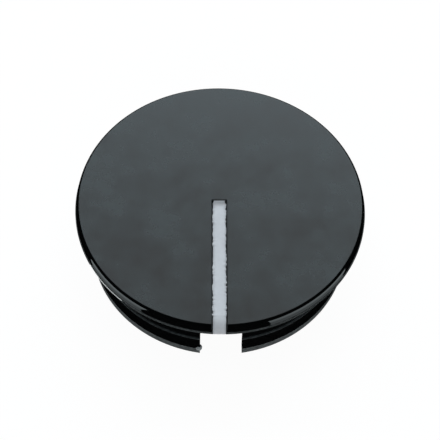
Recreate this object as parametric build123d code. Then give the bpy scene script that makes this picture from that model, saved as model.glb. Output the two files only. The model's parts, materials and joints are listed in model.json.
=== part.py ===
"""Snap-in cap for a rotary control knob: a closed round disc with a thin rim, a snap skirt
beneath it, and a white pointer line filled into a groove.

Frame: millimetres, +Z up, origin at the centre of the skirt's foot. The pointer line and
the index notch face -Y.
"""
import os

from build123d import *

# ---- disc and rim ------------------------------------------------------------------------
rim_radius = 14.5
total_height = 7.9
rim_height = 1.3
disc_thickness = 1.4
rim_face_radius = 14.12
rim_top_radius = 14.34
rim_bevel_depth = 0.2
rim_crown_radius = 14.4
rim_crown_depth = 0.5
rim_land_height = 0.28
rim_land_step = 0.06
rim_land_chamfer = 0.03

# ---- snap skirt --------------------------------------------------------------------------
skirt_bore_radius = 11.85
neck_radius = 12.82
snap_band_radius = 13.0
snap_band_top = 2.72
lead_in_height = 0.92
lead_in_inset = 0.05
foot_chamfer = 0.05
inner_corner_round = 0.4

# ---- index notch, and the gate stub left on its wall ---------------------------------------
notch_width = 4.15
notch_offset = 0.15
notch_cut_depth = 3.0
stub_radius = 0.36
stub_reach = 0.25
stub_root = 0.4
stub_end_round = 0.14
stub_height = 0.8
stub_distance = 12.4

# ---- pointer line ------------------------------------------------------------------------
line_offset = -0.12
groove_floor_width = 1.22
groove_mouth_width = 1.55
groove_depth = 0.5
groove_floor_start = 0.22
groove_mouth_start = 0.34
groove_flat_length = 12.9
groove_fall_radius = 1.8
groove_fall_angle = 75
cutter_height = 1.3
fill_thickness = 0.1
fill_edge_gap = 0.04
fill_top_gap = 0.02

# ---- worked out from the above -------------------------------------------------------------
rim_underside = total_height - rim_height
disc_underside = total_height - disc_thickness
groove_floor = total_height - groove_depth
groove_draft = (groove_mouth_width - groove_floor_width) / 2 / groove_depth
end_wall_draft = (groove_mouth_start - groove_floor_start) / groove_depth


def cap_outline():
    """Half section of the moulding, before its inner corner is rounded."""
    side_foot_radius = rim_radius - rim_land_step
    land_top = rim_underside + rim_land_height
    foot_radius = snap_band_radius - lead_in_inset
    return Polyline(
        (0, total_height),
        (rim_face_radius, total_height),
        (rim_top_radius, total_height - rim_bevel_depth),
        (rim_crown_radius, total_height - rim_crown_depth),
        (side_foot_radius, land_top),
        (rim_radius, land_top - rim_land_chamfer),
        (rim_radius, rim_underside + rim_land_chamfer),
        (rim_radius - rim_land_chamfer, rim_underside),
        (neck_radius, rim_underside),
        (neck_radius, snap_band_top),
        (snap_band_radius, snap_band_top),
        (snap_band_radius, lead_in_height),
        (foot_radius, foot_chamfer),
        (foot_radius - foot_chamfer, 0),
        (skirt_bore_radius + foot_chamfer, 0),
        (skirt_bore_radius, foot_chamfer),
        (skirt_bore_radius, disc_underside),
        (0, disc_underside),
        close=True,
    )


def outer_corner(section, height):
    """The section's corner at one height that is furthest from the axis."""
    return section.vertices().filter_by_position(Axis.Y, height, height).sort_by(Axis.X)[-1]


def turned_body():
    """Disc, rim and skirt turned about the axis, with a round inner corner under the disc."""
    with BuildPart() as body:
        with BuildSketch(Plane.XZ) as section:
            with BuildLine():
                cap_outline()
            make_face()
            fillet(outer_corner(section, disc_underside), inner_corner_round)
        revolve(axis=Axis.Z)
    return body.part


def notch_cutter():
    """A block that clears the skirt's wall, from below its foot up to the disc's underside."""
    wall_middle = (skirt_bore_radius + snap_band_radius) / 2
    block = Box(notch_width, notch_cut_depth, 2 * disc_underside)
    return Location((notch_offset, -wall_middle, 0)) * block


def gate_stub():
    """The short round stub of moulding material on the notch's left wall, near the foot."""
    length = stub_root + stub_reach
    stub = Cylinder(stub_radius, length)
    stub = fillet(stub.edges().group_by(Axis.Z)[-1], stub_end_round)
    middle_x = notch_offset - notch_width / 2 + stub_reach - length / 2
    return Location((middle_x, -stub_distance, stub_height)) * (Rotation(0, 90, 0) * stub)


def groove_slab(height):
    """The groove's level part: its walls slope up to the mouth and stand upright above it."""
    sloping_height = min(height, groove_depth)
    with BuildPart() as slab:
        for level in (0, sloping_height):
            width = groove_floor_width + 2 * groove_draft * level
            start = groove_floor_start + end_wall_draft * level
            with BuildSketch(Plane.XY.offset(groove_floor + level)):
                with Locations((0, (start - groove_flat_length) / 2)):
                    Rectangle(width, start + groove_flat_length)
        loft(ruled=True)
        if height > sloping_height:
            extrude(slab.faces().sort_by(Axis.Z)[-1], height - sloping_height)
    return slab.part


def groove_fall(height):
    """The groove's outer part, with the same walls, whose floor falls over the rim."""
    sloping_height = min(height, groove_depth)
    floor_half = groove_floor_width / 2
    side_half = floor_half + groove_draft * sloping_height
    right_side = [(floor_half, groove_floor), (side_half, groove_floor + sloping_height)]
    if height > sloping_height:
        right_side.append((side_half, groove_floor + height))
    left_side = [(-x, level) for x, level in reversed(right_side)]
    with BuildPart() as bar:
        with BuildSketch(Plane.XZ.offset(groove_flat_length)):
            with BuildLine():
                Polyline(*right_side, *left_side, close=True)
            make_face()
        fall_axis = Axis((0, -groove_flat_length, groove_floor - groove_fall_radius), (1, 0, 0))
        revolve(axis=fall_axis, revolution_arc=groove_fall_angle)
    return bar.part


def groove_run(height):
    """The whole groove up to a height above its floor, set off from the middle of the disc."""
    return Location((line_offset, 0, 0)) * (groove_slab(height) + groove_fall(height))


def end_wall_layer():
    """The part of the fill that stands on the sloping wall at the groove's inner end."""
    shifted_groove = Location((0, -fill_thickness, 0)) * groove_run(groove_depth)
    end_zone = Location((line_offset, 0, groove_floor)) * Box(
        groove_mouth_width, 2 * groove_mouth_start, 2 * groove_depth)
    return (groove_run(groove_depth) - shifted_groove) & end_zone


def pointer_fill():
    """The white layer on the groove's floor and on its end wall."""
    envelope_height = total_height - fill_top_gap - rim_underside
    envelope_radius = rim_radius - fill_edge_gap
    envelope = Location((0, 0, rim_underside + envelope_height / 2)) * Cylinder(
        envelope_radius, envelope_height)
    return (groove_run(fill_thickness) + end_wall_layer()) & envelope


cap_moulding = turned_body() - notch_cutter() + gate_stub() - groove_run(cutter_height)
pointer_line_fill = pointer_fill()

os.makedirs("parts", exist_ok=True)
export_step(cap_moulding, "parts/cap_moulding.step")
export_step(pointer_line_fill, "parts/pointer_line_fill.step")
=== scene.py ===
"""Looks of a snap-in knob cap: a black moulding with a white pointer line in a groove.

The sizes of pieces, cards and the camera's place are in millimetres until they are handed to
Blender, and its lights are given in metres. The frame is the CAD's: +Z up, origin at the centre
of the skirt's foot, pointer line towards -Y.
"""
import json
from math import atan2, ceil, cos, pi, radians, sin, tan

import bmesh
import bpy
from mathutils import Matrix, Vector, noise


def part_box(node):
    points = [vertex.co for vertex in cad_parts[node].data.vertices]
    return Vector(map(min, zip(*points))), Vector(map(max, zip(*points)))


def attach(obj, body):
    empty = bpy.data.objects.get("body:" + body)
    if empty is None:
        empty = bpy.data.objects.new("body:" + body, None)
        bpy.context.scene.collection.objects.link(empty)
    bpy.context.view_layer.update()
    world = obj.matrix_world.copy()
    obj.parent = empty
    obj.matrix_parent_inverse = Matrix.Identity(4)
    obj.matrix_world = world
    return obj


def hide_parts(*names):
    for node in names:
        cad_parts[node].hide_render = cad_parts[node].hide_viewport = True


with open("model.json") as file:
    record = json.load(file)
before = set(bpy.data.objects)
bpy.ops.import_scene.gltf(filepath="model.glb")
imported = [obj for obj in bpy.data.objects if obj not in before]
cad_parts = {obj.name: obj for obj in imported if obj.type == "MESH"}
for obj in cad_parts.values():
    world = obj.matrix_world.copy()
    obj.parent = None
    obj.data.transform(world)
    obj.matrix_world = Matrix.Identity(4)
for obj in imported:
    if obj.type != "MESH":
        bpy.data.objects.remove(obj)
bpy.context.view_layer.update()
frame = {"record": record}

MM = 0.001

# ---- sizes taken from the frame (mm) --------------------------------------------------------
cap_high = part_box("cap_moulding")[1]
fill_low, fill_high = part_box("pointer_line_fill")
mounts = {mount["name"]: mount for mount in frame["record"]["mounts"]}

RIM_RADIUS = cap_high.x / MM
TOP = cap_high.z / MM
RIM_UNDERSIDE = mounts["rim_seat"]["pos_m"][2] / MM
BAND_RADIUS = mounts["snap_skirt"]["dims"]["r_mm"]
LINE_X = (fill_low.x + fill_high.x) / 2 / MM

# ---- moulding (mm) --------------------------------------------------------------------------
SEGMENTS = 480
ARC_STEP = radians(9)
RIM_FACE_RADIUS = RIM_RADIUS - 0.38
RIM_TOP_RADIUS = RIM_RADIUS - 0.16
RIM_BEVEL_DEPTH = 0.2
RIM_CROWN_RADIUS = RIM_RADIUS - 0.1
RIM_CROWN_DEPTH = 0.5
RIM_SIDE_FOOT = RIM_RADIUS - 0.06
LAND_TOP = RIM_UNDERSIDE + 0.28
NECK_RADIUS = BAND_RADIUS - 0.16
BAND_TOP = 2.72
LEAD_IN_TOP = 0.89
FOOT_RADIUS = BAND_RADIUS - 0.05
BORE_RADIUS = BAND_RADIUS - 1.15
DISC_UNDERSIDE = TOP - 1.4
MIDDLE_RADIUS = 1.0
FACE_EDGE_WIDTH = 0.1
SMALL_ROUND = 0.03
FLOAT_SLACK = 0.001
BEVEL_ROUND = 0.08
CROWN_ROUND = 2.0
LAND_ROUND = 0.015
NECK_ROUND = 0.1
LEDGE_ROUND = 0.02
FOOT_ROUND = 0.04
BORE_FOOT_ROUND = 0.1
DISC_CORNER_ROUND = 0.4
NOTCH_X = 0.15
NOTCH_HALF = 2.075
NOTCH_PAST_BORE = 0.8
CUTTER_CLEARANCE = 1.0
GATE_MIDDLE = (NOTCH_X - NOTCH_HALF - 0.1, -12.7, 0.95)
GATE_RADII = (0.33, 0.31, 0.36)

# ---- matte bands with painted highlights: from, to (mm), how much lighter grey is painted there, and their roughness ---
MATTE_AND_HIGHLIGHT_BANDS = (
    (0, LEAD_IN_TOP - 0.1, 0.37, 0.45),
    (LEAD_IN_TOP - 0.06, LEAD_IN_TOP, 0.66, 0.45),
    (BAND_TOP - 0.03, BAND_TOP + 0.02, 0.36, 0.45),
    (RIM_UNDERSIDE - 0.02, LAND_TOP + 0.01, 0.24, 0.05),
)

# ---- groove and its fill (mm) ---------------------------------------------------------------
GROOVE_DEPTH = 0.5
GROOVE_FLOOR_HALF = 0.61
GROOVE_MOUTH_HALF = 0.785
GROOVE_START = -0.22
GROOVE_END_LEAN = 0.24
GROOVE_CORNER = 0.07
GROOVE_FLAT_LENGTH = 12.9
GROOVE_FALL_RADIUS = 1.8
GROOVE_FALL_ANGLE = radians(75)
GROOVE_FALL_STEPS = 25
GROOVE_CUT_HEIGHT = 1.3
GROOVE_SLOPE = (GROOVE_MOUTH_HALF - GROOVE_FLOOR_HALF) / GROOVE_DEPTH
GROOVE_FLOOR = TOP - GROOVE_DEPTH
FILL_THICKNESS = 0.1
FILL_CORNER_THICKNESS = 0.17
FILL_FILLET = 0.12
FILL_FILLET_RISE = 0.04
FILL_FILLET_STEPS = 5
FILL_WALL_STEPS = 6
FILL_WALL_TOP = 0.66
FILL_WALL_DROP = 0.5
FILL_WALL_THICKNESS = (0.02, 0.13)
FILL_FALL_ANGLE = radians(55.5)
FILL_END_ANGLE = radians(88)
FILL_END_LENGTH = 0.1
FILL_END_STEPS = 5
FILL_STEP = 0.055
FILL_COLUMNS = 14
CREASE_RIDGE = 0.03
CREASE_RIDGE_LENGTH = 0.08
CREASE_BULGE = 0.12
CREASE_BULGE_LENGTH = 0.15
CLIMB_LEAST = 0.02
CLIMB_MOST = 0.4


def rounded(corners):
    """Points of an open outline, with an arc at each (x, y, rounding) corner that has one."""
    points = []
    for index, (x, y, rounding) in enumerate(corners):
        corner = Vector((x, y))
        if not rounding:
            points.append(corner)
            continue
        back = (Vector(corners[index - 1][:2]) - corner).normalized()
        ahead = (Vector(corners[index + 1][:2]) - corner).normalized()
        half_angle = back.angle(ahead) / 2
        centre = corner + (back + ahead).normalized() * rounding / sin(half_angle)
        start = corner + back * rounding / tan(half_angle) - centre
        end = corner + ahead * rounding / tan(half_angle) - centre
        start_angle = atan2(start.y, start.x)
        turn = (atan2(end.y, end.x) - start_angle + pi) % (2 * pi) - pi
        steps = max(2, ceil(abs(turn) / ARC_STEP))
        for step in range(steps + 1):
            angle = start_angle + turn * step / steps
            points.append(centre + Vector((cos(angle), sin(angle))) * rounding)
    return points


def mesh_object(name, build):
    """A new object whose mesh is made by build(bmesh) in millimetres and stored in metres."""
    shape = bmesh.new()
    build(shape)
    bmesh.ops.recalc_face_normals(shape, faces=shape.faces)
    bmesh.ops.scale(shape, vec=(MM, MM, MM), verts=shape.verts)
    mesh = bpy.data.meshes.new(name)
    shape.to_mesh(mesh)
    shape.free()
    piece = bpy.data.objects.new(name, mesh)
    bpy.context.scene.collection.objects.link(piece)
    return piece


def skin(shape, rings):
    """Joins closed rings of points into a closed skin with a face at each end."""
    rows = [[shape.verts.new(point) for point in ring] for ring in rings]
    count = len(rows[0])
    for lower, upper in zip(rows, rows[1:]):
        for column in range(count):
            after = (column + 1) % count
            shape.faces.new((lower[column], lower[after], upper[after], upper[column]))
    shape.faces.new(rows[0])
    shape.faces.new(rows[-1])


def turned(shape, outline):
    """A solid turned about Z from an open outline of (radius, height) points."""
    directions = [
        Vector((cos(2 * pi * step / SEGMENTS), sin(2 * pi * step / SEGMENTS)))
        for step in range(SEGMENTS)
    ]
    skin(shape, [
        [(direction.x * radius, direction.y * radius, height) for direction in directions]
        for radius, height in outline
    ])


def moulding_outline():
    """Half section of the cap, from the middle of the disc's top to that of its underside."""
    return rounded([
        (MIDDLE_RADIUS, TOP, 0),
        (RIM_FACE_RADIUS - FACE_EDGE_WIDTH, TOP, 0),
        (RIM_FACE_RADIUS, TOP, SMALL_ROUND),
        (RIM_TOP_RADIUS, TOP - RIM_BEVEL_DEPTH, BEVEL_ROUND),
        (RIM_CROWN_RADIUS, TOP - RIM_CROWN_DEPTH, CROWN_ROUND),
        (RIM_SIDE_FOOT, LAND_TOP, LAND_ROUND),
        (RIM_RADIUS, LAND_TOP, SMALL_ROUND),
        (RIM_RADIUS, RIM_UNDERSIDE, SMALL_ROUND),
        (NECK_RADIUS, RIM_UNDERSIDE, NECK_ROUND),
        (NECK_RADIUS, BAND_TOP, LEDGE_ROUND),
        (BAND_RADIUS, BAND_TOP, SMALL_ROUND),
        (BAND_RADIUS, LEAD_IN_TOP, 0),
        (FOOT_RADIUS, 0, FOOT_ROUND),
        (BORE_RADIUS, 0, BORE_FOOT_ROUND),
        (BORE_RADIUS, DISC_UNDERSIDE, DISC_CORNER_ROUND),
        (MIDDLE_RADIUS, DISC_UNDERSIDE, 0),
    ])


def fall_point(angle, height=0.0):
    """Where the falling floor is at an angle past its start, and the direction out of it."""
    radius = GROOVE_FALL_RADIUS + height
    centre_height = GROOVE_FLOOR - GROOVE_FALL_RADIUS
    place = Vector((GROOVE_FLAT_LENGTH + radius * sin(angle), centre_height + radius * cos(angle)))
    return place, Vector((sin(angle), cos(angle)))


def across(place, out, offset, height):
    """A point of the groove's section: offset across it, and height off its floor."""
    lifted = place + out * height
    return (LINE_X + offset, -lifted.x, lifted.y)


def groove_cutter(shape):
    """A bar with sloping sides that follows the groove's floor and falls over the rim."""
    leaning = Vector((-GROOVE_END_LEAN, 1))
    corner_bend = GROOVE_CORNER * 0.3
    stations = [
        (Vector((GROOVE_START, GROOVE_FLOOR)), leaning, GROOVE_CORNER),
        (Vector((GROOVE_START + corner_bend, GROOVE_FLOOR)), leaning, corner_bend),
        (Vector((GROOVE_START + GROOVE_CORNER, GROOVE_FLOOR)), leaning, 0),
    ]
    stations += [
        (*fall_point(GROOVE_FALL_ANGLE * step / GROOVE_FALL_STEPS), 0)
        for step in range(GROOVE_FALL_STEPS + 1)
    ]
    skin(shape, [
        [
            across(place, out, inset - GROOVE_FLOOR_HALF, 0),
            across(place, out, GROOVE_FLOOR_HALF - inset, 0),
            across(place, out, GROOVE_MOUTH_HALF - inset, GROOVE_DEPTH),
            across(place, out, GROOVE_MOUTH_HALF - inset, GROOVE_CUT_HEIGHT),
            across(place, out, inset - GROOVE_MOUTH_HALF, GROOVE_CUT_HEIGHT),
            across(place, out, inset - GROOVE_MOUTH_HALF, GROOVE_DEPTH),
        ]
        for place, out, inset in stations
    ])


def notch_cutter(shape):
    """A block that clears the skirt's wall at the front."""
    left, right = NOTCH_X - NOTCH_HALF, NOTCH_X + NOTCH_HALF
    front, back = -BAND_RADIUS - CUTTER_CLEARANCE, -BORE_RADIUS + NOTCH_PAST_BORE
    corners = ((left, front), (right, front), (right, back), (left, back))
    heights = (-CUTTER_CLEARANCE, DISC_UNDERSIDE)
    skin(shape, [[(x, y, height) for x, y in corners] for height in heights])


def baked(piece):
    """Replaces a piece's mesh by what its modifiers make of it."""
    bpy.context.view_layer.update()
    graph = bpy.context.evaluated_depsgraph_get()
    mesh = bpy.data.meshes.new_from_object(piece.evaluated_get(graph))
    piece.modifiers.clear()
    piece.data = mesh


def cut(piece, *cutters):
    """Takes each cutter's volume out of a piece and removes the cutter."""
    for cutter in cutters:
        boolean = piece.modifiers.new("cut", "BOOLEAN")
        boolean.solver = "EXACT"
        boolean.object = cutter
        baked(piece)
        bpy.data.objects.remove(cutter)


def smoothed(piece, angle):
    """Smooth shading that keeps edges sharper than the angle, with flat faces kept flat."""
    piece.data.shade_smooth()
    piece.data.set_sharp_from_angle(angle=angle)
    weighting = piece.modifiers.new("weighting", "WEIGHTED_NORMAL")
    weighting.keep_sharp = True
    weighting.weight = 100
    baked(piece)


def fill_stations():
    """Stations along the fill: (floor point, direction out of it, thickness, distance run)."""
    upward = Vector((0, 1))
    stations = []
    thinnest, thickening = FILL_WALL_THICKNESS
    wall_out = Vector((1, GROOVE_END_LEAN)).normalized()
    for step in range(FILL_WALL_STEPS):
        height = GROOVE_DEPTH * (FILL_WALL_TOP - FILL_WALL_DROP * step / FILL_WALL_STEPS)
        place = Vector((GROOVE_START - height * GROOVE_END_LEAN, GROOVE_FLOOR + height))
        thickness = thinnest + thickening * step / FILL_WALL_STEPS
        stations.append((place, wall_out, thickness, -height))
    floor_start = Vector((GROOVE_START, GROOVE_FLOOR))
    corner_out = (wall_out + upward).normalized()
    stations.append((floor_start, corner_out, FILL_CORNER_THICKNESS, 0))
    reach = GROOVE_START + FILL_FILLET
    flat_steps = round((GROOVE_FLAT_LENGTH - reach) / FILL_STEP)
    for step in range(flat_steps + 1):
        run = reach + (GROOVE_FLAT_LENGTH - reach) * step / flat_steps
        thickness = FILL_THICKNESS + FILL_FILLET_RISE * max(0, 1 - step / FILL_FILLET_STEPS)
        stations.append((Vector((run, GROOVE_FLOOR)), upward, thickness, run))
    fall_steps = round(FILL_FALL_ANGLE * GROOVE_FALL_RADIUS / FILL_STEP)
    for step in range(1, fall_steps + 1):
        angle = FILL_FALL_ANGLE * step / fall_steps
        run = GROOVE_FLAT_LENGTH + angle * GROOVE_FALL_RADIUS
        stations.append((*fall_point(angle), FILL_THICKNESS, run))
    place = fall_point(FILL_FALL_ANGLE)[0]
    for step in range(1, FILL_END_STEPS + 1):
        part = step / FILL_END_STEPS
        angle = FILL_FALL_ANGLE + (FILL_END_ANGLE - FILL_FALL_ANGLE) * part
        thickness = FILL_THICKNESS * (0.04 + 0.96 * (1 - part ** 2) ** 0.5)
        run = GROOVE_FLAT_LENGTH + FILL_FALL_ANGLE * GROOVE_FALL_RADIUS + FILL_END_LENGTH * part
        lowered = place - upward * FILL_END_LENGTH * part
        stations.append((lowered, Vector((sin(angle), cos(angle))), thickness, run))
    return stations


def climb(run, side):
    """How far up the groove's side wall the fill reaches, uneven along its length."""
    past_crease = run - GROOVE_FLAT_LENGTH
    wave = noise.noise(Vector((run * 0.9, side * 7.3, 0.4)))
    ripple = noise.noise(Vector((run * 2.6, side * 3.1, 5.2)))
    fine = noise.noise(Vector((run * 6.1, side * 5.7, 9.4)))
    if past_crease > 0.1:
        return 0.05 + 0.1 * max(0, ripple)
    spread = 0.06 + 0.12 * max(0, run) / GROOVE_FLAT_LENGTH
    bulge = CREASE_BULGE * max(0, 1 - abs(past_crease) / CREASE_BULGE_LENGTH)
    reach = spread + 0.1 * wave + 0.24 * ripple + 0.24 * fine + bulge
    return min(CLIMB_MOST, max(CLIMB_LEAST, reach))


def pointer_fill(shape):
    """The white layer on the groove's floor, with edges that climb the side walls unevenly."""
    rings = []
    for place, out, thickness, run in fill_stations():
        at_end_wall = place.x < GROOVE_START + FLOAT_SLACK
        floor_half = GROOVE_FLOOR_HALF - (GROOVE_CORNER if at_end_wall else 0)
        ring = [across(place, out, -floor_half, 0), across(place, out, floor_half, 0)]
        past_crease = abs(run - GROOVE_FLAT_LENGTH)
        ridge = CREASE_RIDGE * max(0, 1 - past_crease / CREASE_RIDGE_LENGTH)
        for column in range(FILL_COLUMNS + 1):
            u = 1 - 2 * column / FILL_COLUMNS
            side = 1 if u > 0 else -1
            edge = max(thickness * 0.3, climb(run, side) * thickness / FILL_THICKNESS)
            half = floor_half + GROOVE_SLOPE * edge
            lump = ridge + 0.012 * noise.noise(Vector((u * 2.1, run * 0.9, 2.7)))
            height = thickness + (edge - thickness) * abs(u) ** 6 + lump * (1 - u * u)
            ring.append(across(place, out, u * half, height))
        rings.append(ring)
    skin(shape, rings)


def gate_stub(shape):
    """The torn, rounded stub of moulding material at the notch's left edge."""
    middle, radii = Vector(GATE_MIDDLE), Vector(GATE_RADII)
    bmesh.ops.create_icosphere(shape, subdivisions=4, radius=1)
    for vertex in shape.verts:
        direction = vertex.co.copy()
        rough = 1 + 0.1 * noise.noise(direction * 1.7) + 0.05 * noise.noise(direction * 5)
        vertex.co = middle + direction * radii * rough


# ---- materials: colours are linear red, green and blue --------------------------------------
FACE_DARK = (0.0002, 0.001, 0.0015)
FACE_LIGHT = (0.0095, 0.0185, 0.0205)
SIDE_BLACK = (0.0022, 0.0024, 0.0025)
# painted highlight: the lighter grey painted on the foot band and the ledge, lead-in and land
# lines
PAINTED_HIGHLIGHT_GREY = (0.30, 0.33, 0.33)
GROOVE_DARK = (0.0015, 0.0018, 0.002)
GROOVE_LIGHT = (0.004, 0.0045, 0.005)
LACQUER_DARK = (0.725, 0.715, 0.74)
LACQUER_LIGHT = (0.785, 0.775, 0.80)
# painted highlight: the gate stub's grey stands for the light it catches
STUB_HIGHLIGHT_DARK = (0.24, 0.26, 0.26)
STUB_HIGHLIGHT_LIGHT = (0.44, 0.46, 0.46)
FACE_START = TOP - 0.004
FACE_FULL = TOP - 0.001
SIDE_ROUGHNESS = 0.035


def material(name):
    """A new node material: (material, nodes, links, its shader node)."""
    made = bpy.data.materials.new(name)
    made.use_nodes = True
    nodes = made.node_tree.nodes
    return made, nodes, made.node_tree.links, nodes["Principled BSDF"]


def noise_value(nodes, links, scale, detail, roughness):
    """A noise texture in object space, as a value socket."""
    place = nodes.new("ShaderNodeTexCoord")
    texture = nodes.new("ShaderNodeTexNoise")
    texture.inputs["Scale"].default_value = scale
    texture.inputs["Detail"].default_value = detail
    texture.inputs["Roughness"].default_value = roughness
    links.new(place.outputs["Object"], texture.inputs["Vector"])
    return texture.outputs["Fac"]


def ranged(nodes, links, value, low, high, out_low, out_high):
    """Maps a value socket from one range to another, clamped."""
    node = nodes.new("ShaderNodeMapRange")
    node.inputs["From Min"].default_value = low
    node.inputs["From Max"].default_value = high
    node.inputs["To Min"].default_value = out_low
    node.inputs["To Max"].default_value = out_high
    links.new(value, node.inputs["Value"])
    return node.outputs["Result"]


def feed(links, target, value):
    """Gives a node's input a value: a socket to link, a number, or a colour of three numbers."""
    if hasattr(value, "links"):
        links.new(value, target)
    elif isinstance(value, tuple):
        target.default_value = (*value, 1)
    else:
        target.default_value = value


def mixed(nodes, links, factor, first, second):
    """A colour between two, by a factor socket; either may be a socket or a colour."""
    node = nodes.new("ShaderNodeMix")
    node.data_type = "RGBA"
    links.new(factor, node.inputs["Factor"])
    for socket, value in (("A", first), ("B", second)):
        target = [i for i in node.inputs if i.name == socket and i.type == "RGBA"][0]
        feed(links, target, value)
    return [o for o in node.outputs if o.type == "RGBA"][0]


def product(nodes, links, first, second):
    """Two value sockets multiplied, as a value socket."""
    node = nodes.new("ShaderNodeMath")
    node.operation = "MULTIPLY"
    links.new(first, node.inputs[0])
    links.new(second, node.inputs[1])
    return node.outputs[0]


def height_value(nodes, links):
    """The height above the skirt's foot, in metres, as a value socket."""
    place = nodes.new("ShaderNodeTexCoord")
    split = nodes.new("ShaderNodeSeparateXYZ")
    links.new(place.outputs["Object"], split.inputs["Vector"])
    return split.outputs["Z"]


def band(nodes, links, height, low, high, blur=0.02):
    """1 between two heights in millimetres and 0 elsewhere, as a value socket."""
    rise = ranged(nodes, links, height, (low - blur) * MM, low * MM, 0, 1)
    fall = ranged(nodes, links, height, high * MM, (high + blur) * MM, 1, 0)
    return product(nodes, links, rise, fall)


def blended(nodes, links, factor, first, second):
    """A value between two, by a factor socket; either may be a socket or a number."""
    node = nodes.new("ShaderNodeMix")
    links.new(factor, node.inputs[0])
    for index, value in ((2, first), (3, second)):
        feed(links, node.inputs[index], value)
    return node.outputs[0]


def black_plastic():
    """Black moulded plastic: satin face, glossy edge and skirt, with rougher lands and foot
    painted lighter grey as painted highlights.
    """
    made, nodes, links, shader = material("black_plastic")
    mottle = noise_value(nodes, links, 320, 4, 0.6)
    grain = noise_value(nodes, links, 3000, 3, 0.6)
    height = height_value(nodes, links)
    face = ranged(nodes, links, height, FACE_START * MM, FACE_FULL * MM, 0, 1)
    face_colour = mixed(
        nodes, links, ranged(nodes, links, mottle, 0.3, 0.7, 0, 1), FACE_DARK, FACE_LIGHT)
    colour = mixed(nodes, links, face, SIDE_BLACK, face_colour)
    satin = ranged(nodes, links, mottle, 0.3, 0.7, 0.2, 0.3)
    roughness = blended(nodes, links, face, SIDE_ROUGHNESS, satin)
    uneven = ranged(nodes, links, grain, 0.35, 0.65, 0.5, 1)
    # painted highlight: each band is painted a lighter grey that stands for the highlights on the
    # foot, the ledge, the lead-in and the land; only the rougher finish is the band's own
    for low, high, strength, band_roughness in MATTE_AND_HIGHLIGHT_BANDS:
        place = band(nodes, links, height, low, high)
        highlight_amount = product(nodes, links, place, ranged(nodes, links, uneven, 0, 1, 0, strength))
        colour = mixed(nodes, links, highlight_amount, colour, PAINTED_HIGHLIGHT_GREY)
        roughness = blended(nodes, links, place, roughness, band_roughness)
    links.new(colour, shader.inputs["Base Color"])
    links.new(roughness, shader.inputs["Roughness"])
    shader.inputs["IOR"].default_value = 1.5
    return made


def groove_black():
    """The groove's bare side walls: the same black, too rough to shine."""
    made, nodes, links, shader = material("groove_black")
    grain = noise_value(nodes, links, 3000, 3, 0.6)
    colour = mixed(
        nodes, links, ranged(nodes, links, grain, 0.3, 0.7, 0, 1), GROOVE_DARK, GROOVE_LIGHT)
    links.new(colour, shader.inputs["Base Color"])
    shader.inputs["Roughness"].default_value = 0.6
    shader.inputs["Specular IOR Level"].default_value = 0.1
    return made


def white_lacquer():
    """White lacquer wiped into the groove: matte, slightly uneven in tone."""
    made, nodes, links, shader = material("white_lacquer")
    cloud = noise_value(nodes, links, 1400, 4, 0.6)
    colour = mixed(
        nodes, links, ranged(nodes, links, cloud, 0.3, 0.7, 0, 1), LACQUER_DARK, LACQUER_LIGHT)
    links.new(colour, shader.inputs["Base Color"])
    shader.inputs["Roughness"].default_value = 0.55
    return made


def stub_highlight_grey():
    """The gate stub: a rough grey on the black plastic, a painted highlight where the stub catches
    light.
    """
    made, nodes, links, shader = material("stub_highlight_grey")
    grain = noise_value(nodes, links, 5200, 3, 0.6)
    colour = mixed(
        nodes, links, ranged(nodes, links, grain, 0.35, 0.65, 0, 1), STUB_HIGHLIGHT_DARK, STUB_HIGHLIGHT_LIGHT)
    links.new(colour, shader.inputs["Base Color"])
    shader.inputs["Roughness"].default_value = 0.6
    return made


def glow(name, colour, strength):
    """A surface that only shines: (material, nodes, links, its shader node)."""
    made, nodes, links, shader = material(name)
    shader.inputs["Base Color"].default_value = (0, 0, 0, 1)
    shader.inputs["Specular IOR Level"].default_value = 0
    shader.inputs["Emission Color"].default_value = (*colour, 1)
    shader.inputs["Emission Strength"].default_value = strength
    return made, nodes, links, shader


# ---- the pieces -----------------------------------------------------------------------------
def make_moulding():
    """The black cap with its groove and notch."""
    cap = mesh_object("cap_shell", lambda shape: turned(shape, moulding_outline()))
    groove = mesh_object("groove_tool", groove_cutter)
    notch = mesh_object("notch_tool", notch_cutter)
    cut(cap, groove, notch)
    cap.data.materials.clear()
    wall_reach = GROOVE_MOUTH_HALF + 0.01
    wall_foot, wall_top = GROOVE_FLOOR - GROOVE_FALL_RADIUS, TOP - FLOAT_SLACK
    cap.data.materials.append(black_plastic())
    cap.data.materials.append(groove_black())
    for face in cap.data.polygons:
        centre = face.center / MM
        beside_line = abs(centre.x - LINE_X) < wall_reach and centre.y > -RIM_RADIUS
        below_face = wall_foot < centre.z < wall_top
        if beside_line and below_face and abs(face.normal.x) > 0.8:
            face.material_index = 1
    smoothed(cap, radians(40))
    return cap


cap = make_moulding()
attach(cap, "root")
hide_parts("cap_moulding")

stub = mesh_object("gate_stub", gate_stub)
smoothed(stub, radians(50))
# painted highlight: the stub is painted grey for the light it catches
stub.data.materials.append(stub_highlight_grey())
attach(stub, "root")
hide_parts("cap_moulding")

line = mesh_object("pointer_line", pointer_fill)
smoothed(line, radians(50))
line.data.materials.append(white_lacquer())
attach(line, "root")
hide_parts("pointer_line_fill")


# ---- camera ---------------------------------------------------------------------------------
CAMERA_ELEVATION = radians(56.6)
CAMERA_AZIMUTH = radians(-1.95)
CAMERA_ROLL = radians(2.15)
CAMERA_DISTANCE = 14 * RIM_RADIUS
CAMERA_LENS = 166.55
CAMERA_SENSOR = 36
AIM_RIGHT = -0.05
AIM_DOWN = 1.785


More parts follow.
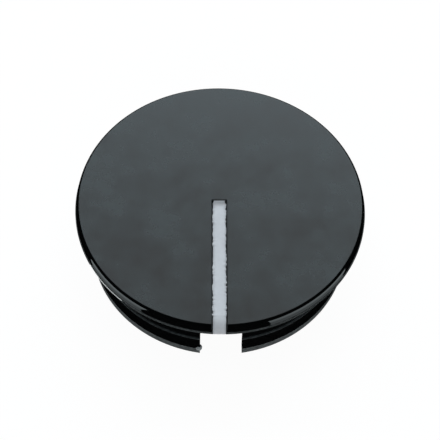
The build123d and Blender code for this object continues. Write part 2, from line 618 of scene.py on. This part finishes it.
def make_camera():
    """The camera, held back along the view and rolled a little, aimed just before the middle."""
    back = Vector((
        sin(CAMERA_AZIMUTH) * cos(CAMERA_ELEVATION),
        -cos(CAMERA_AZIMUTH) * cos(CAMERA_ELEVATION),
        sin(CAMERA_ELEVATION),
    ))
    level_right = Vector((cos(CAMERA_AZIMUTH), sin(CAMERA_AZIMUTH), 0))
    level_up = back.cross(level_right)
    right = level_right * cos(CAMERA_ROLL) + level_up * sin(CAMERA_ROLL)
    up = level_up * cos(CAMERA_ROLL) - level_right * sin(CAMERA_ROLL)
    place = Vector((0, 0, TOP)) + back * CAMERA_DISTANCE + right * AIM_RIGHT - up * AIM_DOWN
    data = bpy.data.cameras.new("camera")
    data.lens = CAMERA_LENS
    data.sensor_width = CAMERA_SENSOR
    data.clip_start = 0.01
    data.clip_end = 10
    camera = bpy.data.objects.new("camera", data)
    bpy.context.scene.collection.objects.link(camera)
    axes = Matrix((right, up, back)).transposed().to_4x4()
    camera.matrix_world = Matrix.Translation(place * MM) @ axes
    bpy.context.scene.camera = camera


make_camera()


# ---- stage and light ------------------------------------------------------------------------
CARD_DISTANCE = 300
CARD_COLUMNS = 24
CARD_ROWS = 8
CARD_COLOUR = (0.86, 0.97, 1.0)
EDGE_CARD_STEPS = 12
EDGE_CARD_LEVEL = -0.1
EDGE_CARD_COLOUR = (0.95, 1.0, 1.0)
FLOOR_RADIUS = 1500
FLOOR_GREY = 0.06
FLOOR_GLOW = 0.96
BACKDROP_RADIUS = 1490
BACKDROP_GLOW = 0.95


def towards(azimuth, elevation):
    """A direction away from the object; azimuth 0 is towards -Y and 90 towards +X."""
    azimuth, elevation = radians(azimuth), radians(elevation)
    return Vector((
        sin(azimuth) * cos(elevation), -cos(azimuth) * cos(elevation), sin(elevation)))


def between(first, second, part):
    """The value part of the way from the first to the second."""
    return first + (second - first) * part


def facing(azimuth, elevation, distance, roll):
    """The placement, in metres, of a panel that faces the object from a direction."""
    direction = towards(azimuth, elevation)
    turn = direction.to_track_quat("Z", "Y").to_matrix().to_4x4()
    return Matrix.Translation(direction * distance) @ turn @ Matrix.Rotation(roll, 4, "Z")


def soft_light(
        name, azimuth, elevation, distance, width, height, radiance, colour, roll=0, glossy=True):
    """A rectangular soft light, sized in metres, whose brightness is given as its radiance."""
    data = bpy.data.lights.new(name, "AREA")
    data.shape = "RECTANGLE"
    data.size = width
    data.size_y = height
    data.energy = radiance * pi * width * height
    data.color = colour
    light = bpy.data.objects.new(name, data)
    light.matrix_world = facing(azimuth, elevation, distance, radians(roll))
    light.visible_camera = False
    light.visible_glossy = glossy
    bpy.context.scene.collection.objects.link(light)


def card(name, low_azimuths, high_azimuths, elevations, strengths):
    """A curved card that only shows as a reflection, each pair given lower edge first."""
    def build(shape):
        points = []
        for row in range(CARD_ROWS + 1):
            part = row / CARD_ROWS
            elevation = between(*elevations, part)
            left, right = [between(*ends, part) for ends in zip(low_azimuths, high_azimuths)]
            azimuths = [
                between(left, right, column / CARD_COLUMNS) for column in range(CARD_COLUMNS + 1)]
            points.append([
                shape.verts.new(CARD_DISTANCE * towards(azimuth, elevation))
                for azimuth in azimuths
            ])
        for lower, upper in zip(points, points[1:]):
            for column in range(CARD_COLUMNS):
                shape.faces.new(
                    (lower[column], lower[column + 1], upper[column + 1], upper[column]))

    panel = mesh_object(name, build)
    made, nodes, links, shader = glow(name + "_glow", CARD_COLOUR, strengths[0])
    heights = [CARD_DISTANCE * MM * sin(radians(elevation)) for elevation in elevations]
    strength = ranged(nodes, links, height_value(nodes, links), *heights, *strengths)
    links.new(strength, shader.inputs["Emission Strength"])
    panel.data.materials.append(made)
    panel.visible_camera = False
    panel.visible_diffuse = False
    panel.visible_shadow = False


def edge_card(azimuths, radii, width, strength):
    """A short shining arc just under the floor's level, seen only in the rim's lower edge."""
    level = Vector((0, 0, EDGE_CARD_LEVEL))

    def build(shape):
        pairs = []
        for step in range(EDGE_CARD_STEPS + 1):
            part = step / EDGE_CARD_STEPS
            radius = between(*radii, part)
            outward = towards(between(*azimuths, part), 0)
            pairs.append([
                shape.verts.new(outward * (radius + side * width / 2) + level)
                for side in (-1, 1)
            ])
        for first, second in zip(pairs, pairs[1:]):
            shape.faces.new((first[0], second[0], second[1], first[1]))

    strip = mesh_object("edge_card", build)
    strip.data.materials.append(glow("edge_card_glow", EDGE_CARD_COLOUR, strength)[0])
    strip.visible_camera = False
    strip.visible_diffuse = False
    strip.visible_shadow = False


def make_floor():
    """A plain pale floor, bright enough to read as white and kept out of the reflections."""
    def build(shape):
        bmesh.ops.create_circle(shape, cap_ends=True, segments=64, radius=FLOOR_RADIUS)
    floor = mesh_object("floor", build)
    made, _, _, shader = material("pale_floor")
    shader.inputs["Base Color"].default_value = (FLOOR_GREY, FLOOR_GREY, FLOOR_GREY, 1)
    shader.inputs["Roughness"].default_value = 0.9
    shader.inputs["Specular IOR Level"].default_value = 0
    shader.inputs["Emission Color"].default_value = (1, 1, 1, 1)
    shader.inputs["Emission Strength"].default_value = FLOOR_GLOW
    floor.data.materials.append(made)
    floor.visible_glossy = False


def make_backdrop():
    """A pale dome behind everything, seen only by the camera."""
    def build(shape):
        bmesh.ops.create_uvsphere(shape, u_segments=48, v_segments=24, radius=BACKDROP_RADIUS)
    dome = mesh_object("backdrop", build)
    dome.data.materials.append(glow("backdrop_glow", (1, 1, 1), BACKDROP_GLOW)[0])
    dome.visible_glossy = False
    dome.visible_diffuse = False
    dome.visible_shadow = False


def make_world():
    """A dark surround, so that only the lights and cards show in the gloss."""
    world = bpy.data.worlds.new("surround")
    world.use_nodes = True
    world.node_tree.nodes["Background"].inputs["Color"].default_value = (0, 0, 0, 1)
    bpy.context.scene.world = world


make_floor()
make_backdrop()
make_world()
soft_light(
    "window", azimuth=180, elevation=39.3, distance=0.6, width=0.9, height=0.30,
    radiance=3.4, colour=(0.81, 0.93, 1.0), roll=-5)
soft_light(
    "overhead", azimuth=180, elevation=81, distance=0.7, width=0.7, height=0.7,
    radiance=1.12, colour=(0.93, 0.98, 1.0))
soft_light(
    "front_fill", azimuth=0, elevation=30, distance=0.8, width=0.8, height=0.4,
    radiance=1.6, colour=(0.80, 0.93, 1.0), glossy=False)
card(
    "left_card", low_azimuths=(-112, -62), high_azimuths=(-92, -44),
    elevations=(-54, -27), strengths=(0.0, 2.5))
card(
    "right_card", low_azimuths=(40, 107), high_azimuths=(32, 93),
    elevations=(-54, -33), strengths=(0.0, 1.8))
edge_card(azimuths=(-76, -51), radii=(16.54, 17.58), width=0.7, strength=4.2)

bpy.context.scene.view_settings.view_transform = "Standard"
